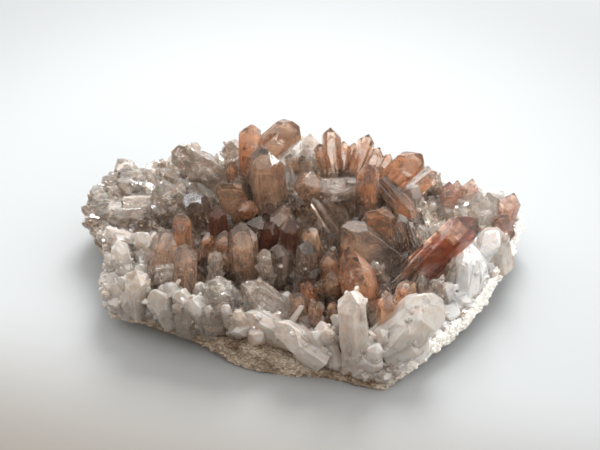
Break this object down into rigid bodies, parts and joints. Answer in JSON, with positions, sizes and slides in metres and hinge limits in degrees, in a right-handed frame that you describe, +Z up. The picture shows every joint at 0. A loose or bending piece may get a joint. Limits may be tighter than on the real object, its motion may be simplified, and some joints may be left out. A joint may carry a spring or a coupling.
{
  "type": "red phantom quartz cluster",
  "caption": "Natural cluster of pointed quartz crystals with red-brown inner phantoms, grown on a milky bed over pale rock; a display specimen that rests on a flat face",
  "frame": {"origin": "on the flat underside, below the middle of the cluster's bounding box", "axes": "+X along the cluster's length, towards the end with the large red prism; +Y towards the back; +Z up"},
  "size_m": [0.1594, 0.1064, 0.0465],
  "materials": {
    "pale_rock": "rough, granular, rust-stained",
    "milky_quartz": "milky, semi-gloss crystal faces",
    "clear_quartz": "glassy natural crystal faces",
    "phantom_quartz": "glassy natural crystal faces over a red-brown phantom"
  },
  "bodies": {
    "root": {"rock_matrix": "pale_rock", "milky_quartz_bed": "milky_quartz", "white_point_front": "milky_quartz", "pale_wedge_right": "milky_quartz", "white_point_front_left": "milky_quartz", "white_plate_front": "milky_quartz", "small_white_front": "milky_quartz", "milky_plate_left": "milky_quartz", "milky_point_back": "milky_quartz", "white_points_rear": "milky_quartz", "grey_block_far_right": "milky_quartz", "red_prism": "phantom_quartz", "brown_point_front": "phantom_quartz", "orange_pair_right": "phantom_quartz", "brown_points_centre": "phantom_quartz", "tall_points_back": "phantom_quartz", "orange_point_back": "phantom_quartz", "tilted_point_back": "phantom_quartz", "hexagon_point": "phantom_quartz", "orange_prism_back": "phantom_quartz", "orange_fan": "phantom_quartz", "orange_points_top_right": "phantom_quartz", "pink_points_right": "phantom_quartz", "pink_points_far_right": "phantom_quartz", "wide_point_left": "phantom_quartz", "orange_point_left": "phantom_quartz", "window_point_left": "phantom_quartz", "red_point_left": "phantom_quartz", "brown_point_left": "phantom_quartz", "tall_point_left": "phantom_quartz", "dark_point_centre": "phantom_quartz", "orange_points_centre": "phantom_quartz", "brown_block_back_left": "phantom_quartz", "ring_point_back_left": "phantom_quartz", "grey_block_right": "clear_quartz", "small_point_left": "clear_quartz", "clear_points_centre": "clear_quartz", "small_point_back_left": "clear_quartz", "facet_point_left": "clear_quartz", "grey_block_back_left": "clear_quartz", "grey_point_back": "clear_quartz", "clear_point_front_left": "clear_quartz", "clear_blade_right": "clear_quartz", "clear_block_right": "clear_quartz"}
  },
  "joints": []
}
